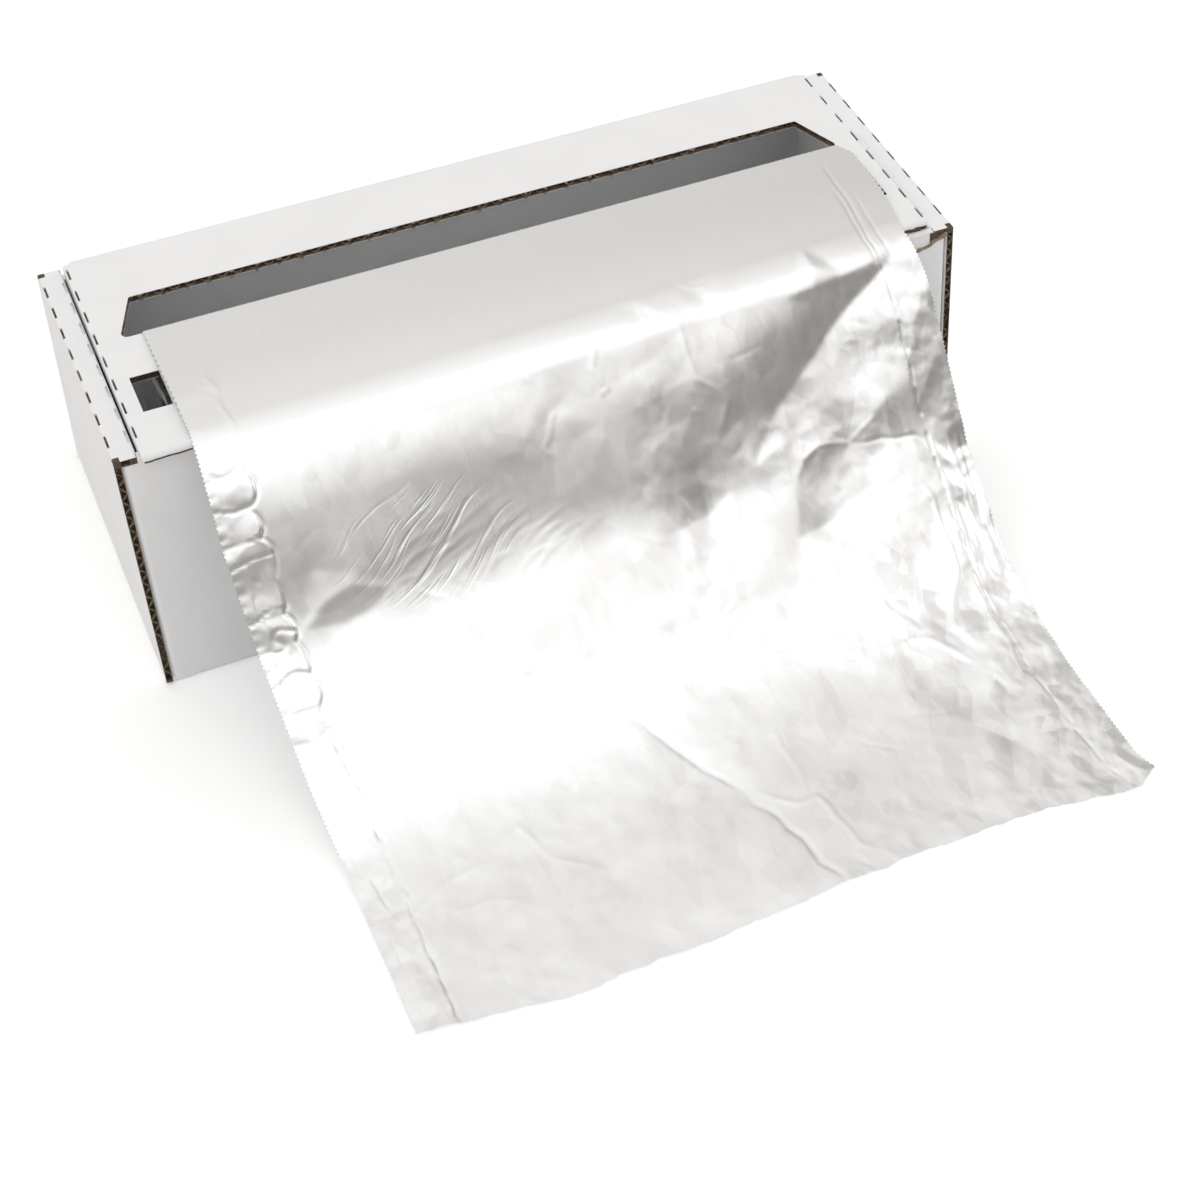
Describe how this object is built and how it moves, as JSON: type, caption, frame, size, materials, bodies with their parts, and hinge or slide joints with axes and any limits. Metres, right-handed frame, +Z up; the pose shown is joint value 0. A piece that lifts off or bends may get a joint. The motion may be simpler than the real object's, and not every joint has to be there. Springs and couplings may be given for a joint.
{
  "type": "foil roll in dispenser carton",
  "caption": "Wide roll of aluminium foil in a white corrugated dispenser carton, with foil drawn out of the slot, over the front and down to the table.",
  "frame": {"origin": "middle of the carton's underside, on the surface it stands on", "axes": "+X along the carton and the roll, to the right seen from the front; +Y from the front, where the foil comes out, to the rear; +Z up"},
  "size_m": [0.35, 0.3451, 0.1157],
  "materials": {
    "white_board": "white-lined corrugated board, matt, raw edges brown",
    "core_board": "brown paperboard tube, matt",
    "foil": "thin rolled foil, satin, creased"
  },
  "bodies": {
    "root": {"carton": "white_board", "core_tube": "core_board", "foil_roll": "foil"}
  },
  "joints": []
}
